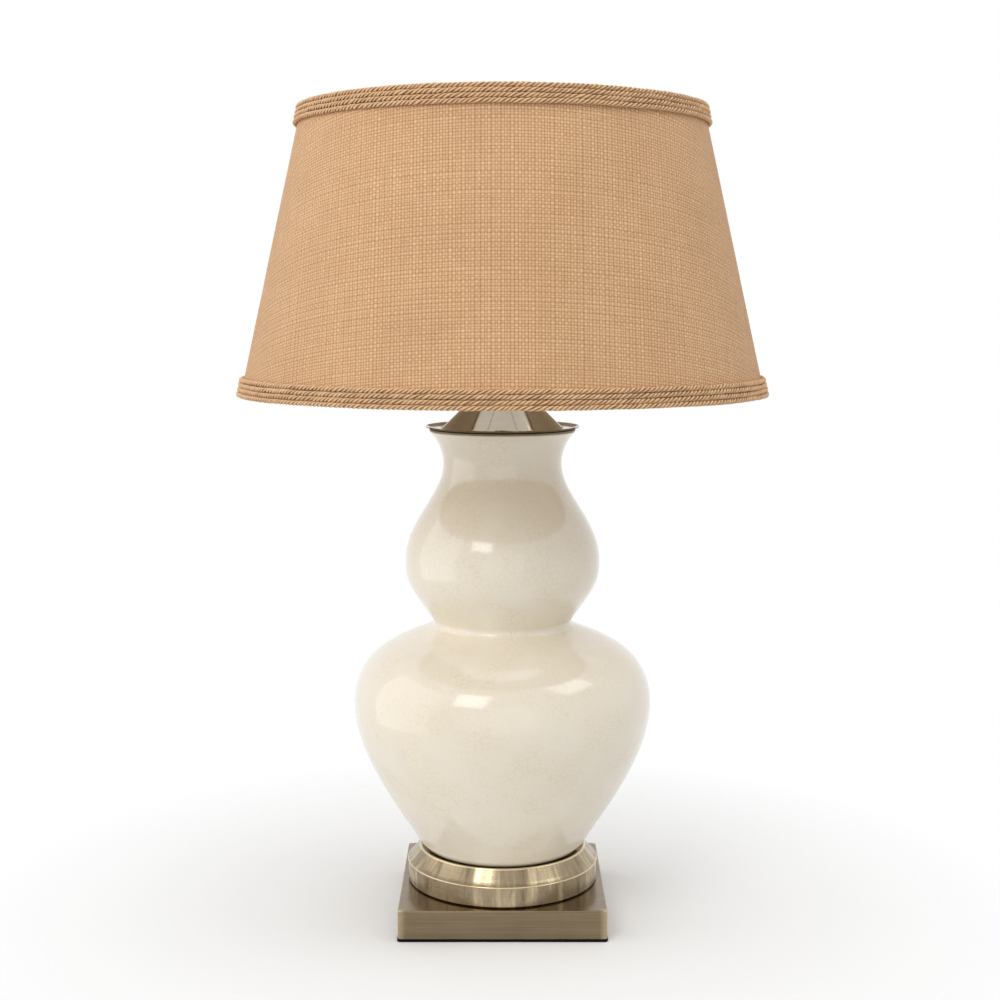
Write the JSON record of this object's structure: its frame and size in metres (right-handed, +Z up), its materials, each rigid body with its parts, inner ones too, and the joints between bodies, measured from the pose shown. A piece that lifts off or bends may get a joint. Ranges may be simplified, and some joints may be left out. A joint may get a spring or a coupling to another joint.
{
  "type": "double gourd table lamp",
  "caption": "Table lamp with a double gourd ceramic body on a round pedestal and square plinth, and a tapered burlap shade held by a harp.",
  "frame": {"origin": "centre of the underside, on the surface that the lamp stands on", "axes": "+Z up along the lamp's axis, -Y towards the viewer of the picture, +X to that viewer's right; the lead inlet is at +Y"},
  "size_m": [0.4696, 0.4696, 0.7252],
  "materials": {
    "felt": "matt black felt",
    "fibreboard": "pressed fibreboard",
    "antique_brass": "brushed antique brass plating",
    "black_rubber": "matt",
    "zinc_steel": "zinc plated",
    "crackle_glaze": "glossy cream crackle glaze",
    "polished_brass": "polished, lacquered",
    "socket_brass": "drawn sheet, polished",
    "fibre_paper": "vulcanised fibre",
    "black_phenolic": "moulded phenolic",
    "aluminium": "drawn sheet",
    "frosted_glass": "inside frosted",
    "burlap": "natural plain-weave burlap",
    "styrene": "off-white sheet",
    "shade_wire": "off-white lacquer",
    "jute": "twisted natural jute cord"
  },
  "bodies": {
    "base": {"base_felt": "felt", "base_board": "fibreboard", "plinth": "antique_brass", "cord_bushing": "black_rubber", "threaded_rod": "zinc_steel", "rod_washer": "zinc_steel", "rod_lock_washer": "zinc_steel", "rod_nut": "zinc_steel", "pedestal_ring": "antique_brass", "foot_gasket": "black_rubber", "ceramic_body": "crackle_glaze", "cap_gasket": "black_rubber", "vase_cap": "antique_brass", "cap_neck": "polished_brass", "harp_saddle": "polished_brass", "harp_frame": "polished_brass", "harp_stud": "polished_brass", "socket_cap": "socket_brass", "socket_set_screw": "socket_brass", "socket_shell": "socket_brass", "socket_insulator": "fibre_paper", "switch_body": "black_phenolic", "terminal_screws": "socket_brass", "screw_shell": "aluminium", "centre_contact": "socket_brass"},
    "switch": {"switch_shaft": "socket_brass", "switch_knob": "black_phenolic"},
    "bulb": {"bulb_globe": "frosted_glass", "bulb_screw_base": "aluminium", "bulb_insulator": "black_phenolic", "bulb_tip_contact": "socket_brass"},
    "ferrule_left": {"harp_ferrule_left": "polished_brass"},
    "ferrule_right": {"harp_ferrule_right": "polished_brass"},
    "shade": {"shade_cover": "burlap", "shade_liner": "styrene", "shade_bottom_ring": "shade_wire", "shade_spider": "shade_wire", "top_rope_trim": "jute", "bottom_rope_trim": "jute"},
    "finial": {"finial": "polished_brass"}
  },
  "joints": [
    {"name": "switch_turn", "type": "hinge", "parent": "base", "child": "switch", "pos_m": [0, -0.02, 0.519], "axis": [0, -1, 0], "continuous": true},
    {"name": "bulb_turn", "type": "hinge", "parent": "base", "child": "bulb", "pos_m": [0, 0, 0.545], "axis": [0, 0, 1], "range_deg": [0, 1800]},
    {"name": "ferrule_left_lift", "type": "slide", "parent": "base", "child": "ferrule_left", "axis": [0, 0, 1], "range_m": [0, 0.0125]},
    {"name": "ferrule_right_lift", "type": "slide", "parent": "base", "child": "ferrule_right", "axis": [0, 0, 1], "range_m": [0, 0.0125]},
    {"name": "shade_turn", "type": "hinge", "parent": "base", "child": "shade", "pos_m": [0, 0, 0.6966], "axis": [0, 0, 1], "continuous": true},
    {"name": "finial_turn", "type": "hinge", "parent": "base", "child": "finial", "pos_m": [0, 0, 0.71], "axis": [0, 0, 1], "range_deg": [0, 2880]}
  ]
}
